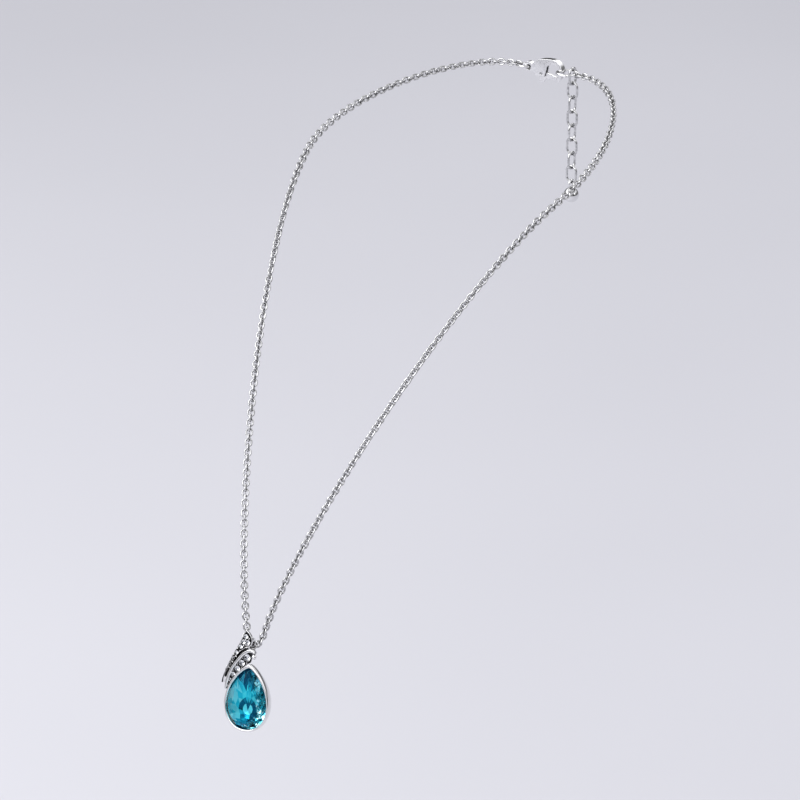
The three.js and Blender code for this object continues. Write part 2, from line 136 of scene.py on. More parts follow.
CLASP_SHIFT = 0.585
CLASP_EYE_U = -6.0
CLASP_RING = (1.6, 0.35)  # radius, wire radius
END_RING = (2.6, 0.38)
END_RING_U = 11.4
PIVOT_U = 3.9  # the lever's pin, along the clasp from its eye
PIVOT_V = -1.1  # and up from it
CLASP_THICK = 1.7
EXTENDER_LENGTH = 4.4
EXTENDER_WIDTH = 2.8
EXTENDER_WIRE = 0.3  # radius
DROP_RADIUS = 2.0
DROP_EYE = (1.0, 0.3)  # radius, wire radius


def joint_point(name):
    found = next(j for j in frame["joints"] if j["name"] == name)
    return Vector(found["pos_m"]) / MM


CHAIN_ORIGIN = joint_point("pendant_sway") - Vector((0, 0, APEX_RISE))
PENDANT = Matrix.Rotation(PENDANT_YAW, 4, "Z") @ Matrix.Rotation(-PENDANT_LEAN, 4, "X")
NAPE_FRAME = Matrix.Translation(CHAIN_ORIGIN + NAPE + Vector((CLASP_SHIFT, 0, 0)))

# ---- mesh helpers: points are in millimetres, in the frame of the matrix that places them ----


def piece(name, verts, faces, place, material, smooth=True):
    mesh = bpy.data.meshes.new(name)
    mesh.from_pydata([(place @ Vector(v)) * MM for v in verts], [], faces)
    mesh.polygons.foreach_set("use_smooth", [smooth] * len(mesh.polygons))
    mesh.materials.append(material)
    mesh.validate()
    obj = bpy.data.objects.new(name, mesh)
    bpy.context.scene.collection.objects.link(obj)
    return obj


def settle(obj, body, slot, *nodes):
    """The piece rides on its body and stands for its CAD nodes; slot is not used."""
    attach(obj, body)
    if nodes:
        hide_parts(*nodes)
    return obj


def apply_modifiers(obj):
    graph = bpy.context.evaluated_depsgraph_get()
    mesh = bpy.data.meshes.new_from_object(obj.evaluated_get(graph))
    obj.modifiers.clear()
    obj.data = mesh


def facing_out(verts, faces):
    """Turns a closed mesh's faces outwards, whichever way its rings were listed."""
    volume = 0.0
    for face in faces:
        a = Vector(verts[face[0]])
        for i in range(1, len(face) - 1):
            volume += a.dot(Vector(verts[face[i]]).cross(Vector(verts[face[i + 1]])))
    return faces if volume > 0 else [tuple(reversed(f)) for f in faces]


def loft(rings, closed=False):
    """Quads between rings of equal length; a loft that isn't closed on itself gets flat ends."""
    count = len(rings[0])
    verts = [tuple(p) for ring in rings for p in ring]
    faces = []
    spans = len(rings) if closed else len(rings) - 1
    for r in range(spans):
        low, high = r * count, ((r + 1) % len(rings)) * count
        for i in range(count):
            j = (i + 1) % count
            faces.append((low + i, low + j, high + j, high + i))
    if not closed:
        last = (len(rings) - 1) * count
        faces.append(tuple(reversed(range(count))))
        faces.append(tuple(range(last, last + count)))
    return verts, facing_out(verts, faces)


def join_parts(parts):
    verts, faces = [], []
    for part_verts, part_faces in parts:
        start = len(verts)
        verts += part_verts
        faces += [tuple(start + i for i in face) for face in part_faces]
    return verts, faces


def sweep(path, profile, across, closed=False):
    """A bar along a path: profile(t) gives its (side, rise) pairs and across(t, tangent) its side
    direction, at the share t of the path."""
    rings = []
    count = len(path)
    for i, point in enumerate(path):
        before = path[i - 1] if closed or i > 0 else path[0]
        after = path[(i + 1) % count] if closed or i + 1 < count else path[-1]
        tangent = (after - before).normalized()
        t = i / (count if closed else count - 1)
        side = across(t, tangent).normalized()
        rise = tangent.cross(side).normalized()
        rings.append([point + side * s + rise * r for s, r in profile(t)])
    return loft(rings, closed)


def circle(radius, sides):
    return [
        (radius * math.cos(2 * math.pi * i / sides), radius * math.sin(2 * math.pi * i / sides))
        for i in range(sides)
    ]


def rounded_bar(half_width, half_height, power=4.0, sides=20):
    """A superellipse: a flat bar with soft corners."""
    points = []
    for i in range(sides):
        a = 2 * math.pi * i / sides
        c, s = math.cos(a), math.sin(a)
        grow = (abs(c) ** power + abs(s) ** power) ** (-1 / power)
        points.append((half_width * grow * c, half_height * grow * s))
    return points


def spline(points, per_span=8):
    """A uniform Catmull-Rom curve through points, as the CAD part's outlines use."""
    out = []
    for i in range(len(points) - 1):
        p0, p1 = points[max(i - 1, 0)], points[i]
        p2, p3 = points[i + 1], points[min(i + 2, len(points) - 1)]
        for k in range(per_span):
            t = k / per_span
            pull0, pull1 = (p2 - p0) / 2, (p3 - p1) / 2
            out.append(
                (2 * (p1 - p2) + pull0 + pull1) * t**3
                + (3 * (p2 - p1) - 2 * pull0 - pull1) * t * t
                + pull0 * t
                + p1
            )
    out.append(points[-1])
    return out


def flat(points):
    return [Vector((x, 0, z)) for x, z in points]


def inset_loop(loop, depth):
    """Moves a closed x-z outline inwards; depth(point) may fade it out where the outline is narrow."""
    area = sum(a.x * b.z - b.x * a.z for a, b in zip(loop, loop[1:] + loop[:1]))
    turn = 1 if area > 0 else -1
    out = []
    for i, point in enumerate(loop):
        along = (loop[(i + 1) % len(loop)] - loop[i - 1]).normalized()
        inward = Vector((-along.z, 0, along.x)) * turn
        out.append(point + inward * depth(point))
    return out


def at_depth(loop, y):
    return [Vector((p.x, y, p.z)) for p in loop]


# ---- materials ----


class Nodes:
    """A node tree with short calls for the nodes that the finishes and the room share."""

    def __init__(self, tree):
        self.tree = tree

    def add(self, kind, **values):
        """Adds a node; each value is a link, an input's value or one of the node's own settings."""
        node = self.tree.nodes.new(kind)
        for key, value in values.items():
            if isinstance(value, bpy.types.NodeSocket):
                self.tree.links.new(value, node.inputs[key])
            elif key in node.inputs:
                node.inputs[key].default_value = value
            else:
                setattr(node, key, value)
        return node

    def ramp(self, value, stops):
        node = self.add("ShaderNodeValToRGB", Fac=value)
        elements = node.color_ramp.elements
        while len(elements) < len(stops):
            elements.new(0.5)
        for element, (position, colour) in zip(elements, stops):
            element.position = position
            element.color = (*colour, 1)
        return node.outputs["Color"]

    def mix(self, blend, a, b):
        node = self.add("ShaderNodeMix", data_type="RGBA", blend_type=blend, Factor=1.0)
        self.tree.links.new(a, node.inputs[6])
        self.tree.links.new(b, node.inputs[7])
        return node.outputs[2]


class Finish(Nodes):
    """A new material with a principled surface."""

    def __init__(self, name):
        self.material = bpy.data.materials.new(name)
        self.material.use_nodes = True
        super().__init__(self.material.node_tree)
        self.surface = self.tree.nodes["Principled BSDF"]
        self.place = self.add("ShaderNodeTexCoord").outputs["Object"]

    def feed(self, socket, value):
        """Links an output to one of the surface's inputs, or sets that input to a plain value."""
        if isinstance(value, bpy.types.NodeSocket):
            self.tree.links.new(value, self.surface.inputs[socket])
        else:
            self.surface.inputs[socket].default_value = value

    def noise(self, scale, detail=4.0, stretch=(1, 1, 1)):
        scaled = self.add("ShaderNodeMapping", Vector=self.place, Scale=stretch)
        texture = self.add("ShaderNodeTexNoise", Vector=scaled.outputs[0], Scale=scale, Detail=detail)
        return texture.outputs["Fac"]

    def mapped(self, value, low, high):
        span = {"Value": value, "To Min": low, "To Max": high}
        return self.add("ShaderNodeMapRange", **span).outputs["Result"]

    def bump(self, height, strength, distance):
        node = self.add("ShaderNodeBump", Height=height, Strength=strength, Distance=distance)
        self.feed("Normal", node.outputs["Normal"])

    def facet_tone(self, scale, spread):
        """The tone given to each facet, painted reflections and highlights on the foils and the teal crown, with a
        little noise over it.
        """
        tone = self.add("ShaderNodeAttribute", attribute_name="tone").outputs["Fac"]
        mixed = self.add("ShaderNodeMath", operation="ADD")
        self.tree.links.new(tone, mixed.inputs[0])
        self.tree.links.new(self.mapped(self.noise(scale, 4), -spread, spread), mixed.inputs[1])
        return mixed.outputs[0]


def silver(name, dark, light, rough, shade_reach_mm, grain=1.0):
    """Rhodium-plated silver: cloudy tone, hairline scratches, and painted shade that darkens the crevices, where a
    little tarnish also sits.
    """
    n = Finish(name)
    tone = n.ramp(n.noise(900 * grain, 5), [(0.3, dark), (0.7, light)])
    # Ambient occlusion darkens the base colour in the crevices: painted shade.
    shade = n.add("ShaderNodeAmbientOcclusion", Distance=shade_reach_mm * MM, samples=8)
    crevice_shade = n.ramp(shade.outputs["AO"], [(0.25, (0.16, 0.155, 0.15)), (0.85, (1, 1, 1))])
    n.feed("Base Color", n.mix("MULTIPLY", tone, crevice_shade))
    hairlines = n.noise(9000 * grain, 3, (1, 0.06, 1))
    n.feed("Roughness", n.mapped(hairlines, *rough))
    n.bump(hairlines, 0.08, 0.02 * MM)
    n.feed("Metallic", 1.0)
    return n.material


def steel(name):
    n = Finish(name)
    tone = [(0.3, (0.33, 0.33, 0.35)), (0.7, (0.52, 0.53, 0.55))]
    n.feed("Base Color", n.ramp(n.noise(2500, 6), tone))
    n.feed("Roughness", n.mapped(n.noise(6000, 3), 0.22, 0.42))
    n.bump(n.noise(12000, 2), 0.1, 0.02 * MM)
    n.feed("Metallic", 1.0)
    return n.material


def crystal_glass(name, stops, ior):
    """Cut crystal whose facets each carry a tint, on the teal stone painted reflections by where they lie, with
    faint striae and a trace of polish marks.
    """
    n = Finish(name)
    n.feed("Base Color", n.ramp(n.facet_tone(260, 0.04), stops))
    n.feed("Roughness", n.mapped(n.noise(5000, 3), 0.0, 0.012))
    n.feed("Specular Tint", (*stops[1][1], 1))
    n.feed("Transmission Weight", 1.0)
    n.feed("IOR", ior)
    return n.material


def foil(name, stops, metallic):
    """Mirror foil behind a cut stone, whose facets each carry a painted tone: painted reflections, highlights and
    dark patches.
    """
    n = Finish(name)
    n.feed("Base Color", n.ramp(n.facet_tone(1800, 0.07), stops))
    n.feed("Roughness", n.mapped(n.noise(3000, 3), 0.12, 0.26))
    n.feed("Specular IOR Level", 0.15)
    n.feed("Metallic", metallic)
    return n.material


# Glass tints: on the teal crystal the dark low end and the pale top end carry painted reflections.
TEAL_TINTS = [
    (0.0, (0.01, 0.16, 0.36)),
    (0.3, (0.05, 0.56, 0.76)),
    (0.6, (0.24, 0.86, 0.98)),
    (1.0, (0.90, 1.00, 1.00)),
]
CLEAR_TINTS = [(0.0, (0.80, 0.82, 0.85)), (1.0, (0.97, 0.98, 0.99))]
# Foil tones: the near-black low end is painted shade and dark reflection, the white top end painted highlight.
TEAL_STOPS = [
    (0.0, (0.001, 0.030, 0.080)),
    (0.22, (0.005, 0.130, 0.240)),
    (0.5, (0.070, 0.640, 0.780)),
    (0.75, (0.400, 1.000, 1.000)),
    (1.0, (1.000, 1.000, 1.000)),
]
CLEAR_STOPS = [
    (0.0, (0.02, 0.02, 0.025)),
    (0.35, (0.25, 0.26, 0.28)),
    (0.7, (0.80, 0.81, 0.83)),
    (1.0, (1.0, 1.0, 1.0)),
]

# The number after the roughness pair is how far each silver's painted crevice shade reaches, in mm; the chain's
# reaches deep into its links.
POLISHED = silver("polished_silver", (0.73, 0.73, 0.74), (0.82, 0.82, 0.82), (0.06, 0.17), 0.5)
CHAIN_METAL = silver("chain_silver", (0.36, 0.36, 0.37), (0.80, 0.80, 0.80), (0.08, 0.20), 1.5, 1.6)
# Near-black silver: painted shade for the floors between the small stones and for the slot under the ribbon.
SHADE_SILVER = silver("painted_shade_silver", (0.02, 0.02, 0.022), (0.07, 0.07, 0.072), (0.35, 0.6), 0.5)
STEEL = steel("spring_steel")
TEAL_GLASS = crystal_glass("teal_crystal", TEAL_TINTS, 1.48)
CLEAR_GLASS = crystal_glass("clear_crystal", CLEAR_TINTS, 1.54)
TEAL_FOIL = foil("teal_foil", TEAL_STOPS, 0.3)
CLEAR_FOIL = foil("clear_foil", CLEAR_STOPS, 0.9)

# ---- pear outline ----


def pear_point(t, inset):
    """Anticlockwise from the tip as seen from the front; the pointed end draws in faster than the sides."""
    top = PEAR_HALF_LENGTH - 1.6 * inset
    bottom = inset - PEAR_HALF_LENGTH
    x = -(PEAR_HALF_WIDTH - inset) / PEAR_PEAK * math.sin(t) * math.sqrt(max(0.0, math.sin(t / 2)))
    return Vector((x, 0, (top + bottom) / 2 + (top - bottom) / 2 * math.cos(t)))


def pear_ring(inset, y, steps):
    return at_depth([pear_point(2 * math.pi * i / steps, inset) for i in range(steps)], y)


def bezel_cup():
    """A flat-backed cup with a tapered wall and a round rim, hollow under the stone's seat."""
    rim = CUP_WALL / 2
    profile = [  # inset from the outline, y
        (1.6, 0.0), (1.42, -0.01), (1.28, -0.06), (1.15, -0.16), (1.05, -0.3), (0.82, -0.8),
        (0.56, -1.35), (0.33, -1.9), (0.15, -2.45), (0.04, -3.0), (0.0, -3.4), (0.0, rim - CUP_DEPTH),
    ]
    for k in range(1, 9):
        a = math.pi * k / 8
        profile.append((rim - rim * math.cos(a), rim - CUP_DEPTH - rim * math.sin(a)))
    profile += [(CUP_WALL, -3.4), (CUP_WALL, -SEAT_DEPTH), (CUP_WALL + 0.5, 0.02 - SEAT_DEPTH)]
    profile += [(CUP_WALL + 0.9, -1.6), (CUP_WALL + 1.6, -0.8)]
    cup = piece("bezel_setting", *loft([pear_ring(i, y, 160) for i, y in profile]), PENDANT, POLISHED)
    settle(cup, "pendant", "polished_silver", "bezel_cup")


# ---- cut stones ----

PEAR_LEVELS = [(0.32, 0.76), (0.58, 0.55), (0.78, 0.4), (0.93, 0.21)]
ROUND_LEVELS = [(0.36, 0.74), (0.66, 0.46), (0.88, 0.22)]
TABLE, STAR, FRONT, BACK, LOWER, MIDDLE = range(6)  # a stone's rings of corners, from the front


def brilliant(outline, centre, folds, girdle, table_y, culet, table_share, levels):
    """A cut stone's facets, as crown, girdle and pavilion face lists over one vertex list.

    outline(t) is the girdle in the x-z plane for t from 0 to 1, centre is where the facets converge,
    folds is how many main facets go round, and levels are the pavilion's rings of corners as shares
    (depth, reach); the small rings near the culet are rounder than the outline.
    """
    crown_y = girdle[1] + (table_y - girdle[1]) * 0.62
    rings = [  # points, depth, offset, share of the girdle's reach from the centre
        (folds, table_y, 0, table_share),
        (folds, crown_y, 0.5, (1 + table_share) / 2 + 0.03),
        (2 * folds, girdle[1], 0, 1.0),
        (2 * folds, girdle[0], 0, 1.0),
    ]
    for i, (depth, share) in enumerate(levels):
        y = girdle[0] + (culet.y - girdle[0]) * depth
        rings.append((folds, y, 0.5 if i % 2 == 0 else 0, share))
    mean = sum((outline(k / folds) - centre).length for k in range(folds)) / folds
    verts, starts = [], []
    for i, (count, y, offset, share) in enumerate(rings):
        starts.append(len(verts))
        for k in range(count):
            reach = outline(((k + offset) / count) % 1.0) - centre
            rounder = (mean / reach.length) ** (1 - share) if i >= LOWER else 1.0
            verts.append(centre + reach * share * rounder + Vector((0, y, 0)))
    tip = len(verts)
    verts.append(culet)

    def at(ring, k):
        return starts[ring] + k % rings[ring][0]

    crown = [tuple(at(TABLE, k) for k in range(folds))]
    pavilion = []
    for k in range(folds):
        crown.append((at(TABLE, k), at(STAR, k), at(TABLE, k + 1)))
        crown.append((at(TABLE, k), at(STAR, k - 1), at(FRONT, 2 * k)))
        crown.append((at(TABLE, k), at(FRONT, 2 * k), at(STAR, k)))
        crown.append((at(STAR, k), at(FRONT, 2 * k), at(FRONT, 2 * k + 1)))
        crown.append((at(STAR, k), at(FRONT, 2 * k + 1), at(FRONT, 2 * k + 2)))
        pavilion.append((at(LOWER, k), at(BACK, 2 * k + 1), at(BACK, 2 * k)))
        pavilion.append((at(LOWER, k), at(BACK, 2 * k + 2), at(BACK, 2 * k + 1)))
        pavilion.append((at(MIDDLE, k), at(LOWER, k), at(BACK, 2 * k)))
        pavilion.append((at(MIDDLE, k), at(BACK, 2 * k), at(LOWER, k - 1)))
        pavilion.append((at(MIDDLE, k), at(MIDDLE, k + 1), at(LOWER, k)))
        for ring in range(MIDDLE + 1, len(rings)):
            shift = 1 if ring % 2 == 0 else 0  # every other ring stands half a step on
            pavilion.append((at(ring, k), at(ring - 1, k + shift), at(ring - 1, k + shift - 1)))
            pavilion.append((at(ring, k), at(ring, k + 1), at(ring - 1, k + shift)))
        pavilion.append((tip, at(len(rings) - 1, k + 1), at(len(rings) - 1, k)))
    belt = [(at(FRONT, k), at(BACK, k), at(BACK, k + 1), at(FRONT, k + 1)) for k in range(2 * folds)]
    return verts, crown, belt, pavilion


def foil_shell(verts, faces, gap, tones):
    """A thin closed shell just outside a pavilion, with a tone on each facet.

    Solidify lists the shell's corners and facets in another order each run, so both are sorted.
    """
    bm = bmesh.new()
    made = [bm.verts.new(v) for v in verts]
    layer = bm.faces.layers.float.new("tone")
    for face, tone in zip(faces, tones):
        bm.faces.new([made[i] for i in face])[layer] = tone
    for v in [v for v in bm.verts if not v.link_faces]:
        bm.verts.remove(v)
    bmesh.ops.recalc_face_normals(bm, faces=bm.faces)
    if sum(f.normal.y * f.calc_area() for f in bm.faces) < 0:
        bmesh.ops.reverse_faces(bm, faces=bm.faces)
    for v in bm.verts:
        v.co += Vector((0, gap, 0))
    bmesh.ops.solidify(bm, geom=list(bm.faces), thickness=-gap)
    bmesh.ops.recalc_face_normals(bm, faces=bm.faces)
    corners = sorted(bm.verts, key=lambda v: tuple(v.co))
    order = {v: i for i, v in enumerate(corners)}
    points = [v.co.copy() for v in corners]
    facets = sorted((tuple(order[v] for v in f.verts), f[layer]) for f in bm.faces)
    bm.free()
    return points, [loop for loop, tone in facets], [tone for loop, tone in facets]


def set_tones(obj, values):
    attribute = obj.data.attributes.new("tone", "FLOAT", "FACE")
    attribute.data.foreach_set("value", values)


def painted_foil_reflection(point, chance):
    """How bright a foil facet of the pear is painted, as painted reflections: a pale flash at the culet under a
    dark arc, light above it, a dark tip, and pale facets low on both sides."""
    across, up = point.x - CULET.x, point.z - CULET.z
    from_culet = math.hypot(across, up)
    if from_culet < 1.15:
        return 0.9 + 0.1 * chance
    if from_culet < 2.7 and (up > -0.3 or across > 0.6):
        return 0.03 + 0.1 * chance
    if point.z > 3.6:
        return 0.06 + 0.16 * chance
    if across < -1.4 and up > -2.4:
        return 0.98 if chance > 0.3 else 0.55
    if point.z > -0.6 and across < 2.4:
        return 0.52 + 0.34 * chance
    if across > 2.0 and up > -2.6:
        return 0.85 if chance > 0.6 else 0.12
    return 0.2 + 0.3 * chance


def painted_belt_shade_and_flash(point, chance):
    """The foil round the girdle is painted dark, as painted shade round the stone's edge, with painted flashes low
    on the left.
    """
    return 0.95 if point.x < -1.0 and point.z < 2.5 and chance > 0.35 else 0.03


def painted_crown_reflection(point, chance):
    """How pale a crown facet of the pear is painted, by where it lies round the table: painted reflections, dark
    at the tip and pale low on the left.
    """
    if point.z > 3.6:
        return 0.04 + 0.14 * chance
    if point.z < -5.4 and abs(point.x) < 2.2:
        return 0.24 + 0.2 * chance
    if point.x > 0:
        return 0.9 if point.z < -1.0 and chance > 0.55 else 0.22 + 0.2 * chance
    if point.z > 0.5:
        return 0.45 + 0.4 * chance
    return 1.0 if chance > 0.35 else 0.5


def middles(verts, faces):
    return [sum((verts[i] for i in face), Vector()) / len(face) for face in faces]


def centre_crystal():
    dice = random.Random(11)

    def cut(inset):
        def outline(t):
            return pear_point(2 * math.pi * t, inset)

        centre = Vector((CULET.x, 0, CULET.z + 0.3))
        return brilliant(
            outline, centre, 14, CRYSTAL_GIRDLE, CRYSTAL_TABLE_Y, CULET, 0.66, PEAR_LEVELS
        )

    verts, crown, belt, pavilion = cut(CRYSTAL_INSET)
    faces = facing_out(verts, crown + belt + pavilion)
    glass = piece("centre_crystal_glass", verts, faces, PENDANT, TEAL_GLASS, False)
    # Crown facets are painted pale or dark by where they lie, as painted reflections; the girdle is painted dark,
    # as painted shade round the stone's edge.
    tints = [painted_crown_reflection(p, dice.random()) for p in middles(verts, crown)]
    set_tones(glass, [0.6] + tints[1:] + [0.1] * len(belt) + [0.75] * len(pavilion))
    settle(glass, "pendant", "teal_crystal", "centre_crystal")
    verts, crown, belt, pavilion = cut(CRYSTAL_INSET - 0.05)
    # Foil facets are painted with reflections: a flash, dark arcs and a dark tip.
    tones = [painted_foil_reflection(p, dice.random()) for p in middles(verts, pavilion)]
    tones += [painted_belt_shade_and_flash(p, dice.random()) for p in middles(verts, belt)]
    points, faces, values = foil_shell(verts, pavilion + belt, 0.04, tones)
    backing = piece("centre_crystal_foil", points, faces, PENDANT, TEAL_FOIL, False)
    set_tones(backing, values)
    settle(backing, "pendant", "teal_crystal")


def small_stones(name, stones, floor, seed, nodes):
    """One glass piece and one foil piece for a row of small round brilliants."""
    dice = random.Random(seed)
    glass_parts, foil_parts, foil_tones = [], [], []
    for x, z, radius in stones:
        spin = dice.random()

        def outline(t, x=x, z=z, radius=radius, spin=spin):
            a = 2 * math.pi * (t + spin)
            return Vector((x - radius * math.sin(a), 0, z + radius * math.cos(a)))

        culet = Vector((x, floor - 0.05, z))
        girdle_y = culet.y - 0.55 * radius
        girdle = (girdle_y, girdle_y - 0.06)
        table_y = girdle[1] - 0.34 * radius
        parts = brilliant(outline, Vector((x, 0, z)), 8, girdle, table_y, culet, 0.55, ROUND_LEVELS)
        verts, crown, belt, pavilion = parts
        glass_parts.append((verts, facing_out(verts, crown + belt + pavilion)))
        # Random dark and bright foil facets: painted glints and dark reflections, the pavé's sparkle.
        tones = [0.15 if dice.random() < 0.3 else 0.55 + 0.45 * dice.random() for _ in pavilion]
        points, faces, values = foil_shell(verts, pavilion, 0.02, tones)
        foil_parts.append((points, faces))
        foil_tones += values
    glass = piece(f"{name}_glass", *join_parts(glass_parts), PENDANT, CLEAR_GLASS, False)
    set_tones(glass, [dice.random() for _ in glass.data.polygons])
    settle(glass, "pendant", "clear_crystal", *nodes)
    backing = piece(f"{name}_foil", *join_parts(foil_parts), PENDANT, CLEAR_FOIL, False)
    set_tones(backing, foil_tones)
    settle(backing, "pendant", "clear_crystal")


def grains(name, stones, y, height, reach, size):
    """The raised beads of metal that hold a row of small stones, two between each stone and the next."""
    parts = []

    def grain(x, z, radius):
        rings = []
        for k in range(7):
            a = math.pi / 2 * k / 6.5
            r = radius * math.cos(a)
            rings.append([
                Vector((x + r * c, y - height * math.sin(a), z + r * s)) for c, s in circle(1, 10)
            ])
        parts.append(loft(rings))

    for (x0, z0, r0), (x1, z1, r1) in zip(stones, stones[1:]):
        along = Vector((x1 - x0, 0, z1 - z0))
        if along.length > 2.6:
            continue
        along.normalize()
        side = Vector((-along.z, 0, along.x))
        middle = Vector((x0, 0, z0)) + along * (r0 + ((x1 - x0) ** 2 + (z1 - z0) ** 2) ** 0.5 - r1) / 2
        for hand in (-1, 1):
            spot = middle + side * hand * reach * (r0 + r1) / 2
            grain(spot.x, spot.z, size + 0.1 * min(r0, r1))
    return piece(name, *join_parts(parts), PENDANT, POLISHED)


# ---- scroll ----

SCROLL_EDGE = flat([
    (-6.26, 1.43), (-6.14, 3.71), (-4.96, 7.06), (-2.75, 10.4),
    (-1.21, 11.8), (0.01, 12.27), (0.99, 11.99), (1.36, 11.36),
])


def scroll_rail():
    """The bright raised edge: a round-topped bar that swells from its thin end and hooks over."""
    edge = spline(SCROLL_EDGE, 10)
    depth = (SCROLL_BACK - SCROLL_FRONT) / 2
    middle_y = (SCROLL_BACK + SCROLL_FRONT) / 2

    def width(t):
        return RAIL_WIDTH * min(1.0, 0.65 + 3 * t) * (1 - 0.25 * max(0.0, t - 0.8) / 0.2)

    path = []
    for i, point in enumerate(edge):
        along = (edge[min(i + 1, len(edge) - 1)] - edge[max(i - 1, 0)]).normalized()
        inward = Vector((along.z, 0, -along.x))
        path.append(point + inward * width(i / (len(edge) - 1)) / 2 + Vector((0, middle_y, 0)))

    def profile(t):
        return rounded_bar(width(t) / 2, depth, 2.8, 24)

    rail = sweep(path, profile, lambda t, tangent: Vector((tangent.z, 0, -tangent.x)))
    return piece("scroll_rail", *rail, PENDANT, POLISHED)


def scroll_floor():
    """The channel floor between the rail and the cup, with a soft edge."""
    outline = spline(SCROLL_EDGE, 6)
    outline += flat([(0.96, 11.26), (0.3, 10.85), (0.28, 9.5), (0.1, 8.85)])
    hug = [pear_point(2 * math.pi * k / 80, -0.12) for k in range(1, 27)]
    outline += [p for p in hug if p.z > 1.7]
    steps = [(0.12, SCROLL_BACK), (0.04, SCROLL_BACK - 0.05)]
    steps += [(0.04, SCROLL_FLOOR + 0.05), (0.1, SCROLL_FLOOR)]
    rings = [at_depth(inset_loop(outline, lambda p, d=d: d), y) for d, y in steps]
    return darken_end(piece("scroll_floor", *loft(rings), PENDANT, POLISHED))


def darken_end(obj):
    """Painted shade on a loft's last flat end, which is the floor between the small stones: it gets the near-black
    silver.
    """
    obj.data.materials.append(SHADE_SILVER)
    obj.data.polygons[len(obj.data.polygons) - 1].material_index = 1
    return obj


def scroll_tip():
    """The rounded grain that closes the channel's narrow end, against the cup."""
    x, z = SCROLL_TIP
    rings = []
    for k in range(9):
        a = math.pi / 2 * k / 8.4
        r = math.cos(a)
        y = SCROLL_FLOOR + 0.1 - 0.85 * math.sin(a)
        rings.append([Vector((x + 0.46 * r * c, y, z + 0.62 * r * s)) for c, s in circle(1, 24)])
    return piece("scroll_tip", *loft(rings), PENDANT, POLISHED)


def scroll_bead():
    """The bead at the hook's end, slightly flattened, on a small collar."""
    profile = [(0.001, 0.42), (0.34, 0.42), (0.4, 0.36), (0.4, 0.22), (0.52, 0.16)]
    for k in range(1, 16):
        a = math.radians(-10 + k * 6.6)
        profile.append((BEAD_RADIUS * math.cos(a), -0.56 * math.sin(a)))
    rings = []
    for radius, y in profile:
        rings.append([BEAD + Vector((radius * c, y, radius * s)) for c, s in circle(1, 32)])
    return piece("scroll_bead_fine", *loft(rings), PENDANT, POLISHED)


def scroll():
    settle(scroll_rail(), "pendant", "polished_silver", "scroll_band")
    settle(scroll_floor(), "pendant", "polished_silver")
    settle(scroll_bead(), "pendant", "polished_silver", "scroll_bead")
    names = [f"scroll_stone_{i + 1}" for i in range(len(SCROLL_STONES))]
    small_stones("scroll_stones", SCROLL_STONES, SCROLL_FLOOR, 5, names)
    beads = grains("scroll_grains", SCROLL_STONES, SCROLL_FLOOR, 0.6, 0.92, 0.18)
    settle(beads, "pendant", "polished_silver")
    settle(scroll_tip(), "pendant", "polished_silver")


# ---- ribbon and bail ----

LEAF_OUTER = flat([(-7.26, 2.71), (-6.94, 4.65), (-5.4, 9.0), (-3.4, 13.07), (-1.85, 16.81)])
LEAF_TURN = flat([(-1.85, 16.81), (-0.43, 15.55), (0.09, 14.07), (-0.46, 12.72), (-1.68, 12.2)])
LEAF_INNER = flat([(-1.68, 12.2), (-3.61, 10.42), (-5.63, 7.11), (-6.72, 4.21), (-6.87, 2.72)])


def ribbon_plate():
    """The leaf and ribbon: a tray with a rounded raised rim, fading out at the ribbon's thin end."""
    outline = spline(LEAF_OUTER, 10)[:-1] + spline(LEAF_TURN, 6)[:-1] + spline(LEAF_INNER, 10)

    def fade(point):
        return min(1.0, max(0.2, (point.z - 2.6) / 4.5))

    steps = [
        (0.12, LEAF_BACK), (0.03, LEAF_BACK - 0.06), (0.0, LEAF_BACK - 0.2), (0.0, LEAF_FRONT + 0.14),
        (0.03, LEAF_FRONT + 0.04), (0.09, LEAF_FRONT), (0.15, LEAF_FRONT + 0.02), (0.2, LEAF_FRONT + 0.1),
        (0.22, LEAF_FLOOR - 0.04), (0.26, LEAF_FLOOR),
    ]
    rings = []
    for depth, y in steps:
        rings.append(at_depth(inset_loop(outline, lambda p, d=depth: d * fade(p)), y))
    return darken_end(piece("ribbon_plate", *loft(rings), PENDANT, POLISHED))


def ribbon_web():
    """A plate that joins the ribbon to the scroll at the bottom of the slot between them, near-black as painted
    shadow in the slot.
    """
    outer = [p for p in spline(LEAF_INNER, 8) if 4.0 < p.z < 12.3]
    inner = [p for p in spline(SCROLL_EDGE, 12) if 4.0 < p.z < 12.0 and p.x < -0.9]
    outline = outer + inner
    rings = [at_depth(inset_loop(outline, lambda p: -0.15), y) for y in (LEAF_BACK, LEAF_BACK - 0.14)]
    return piece("ribbon_web", *loft(rings), PENDANT, SHADE_SILVER)


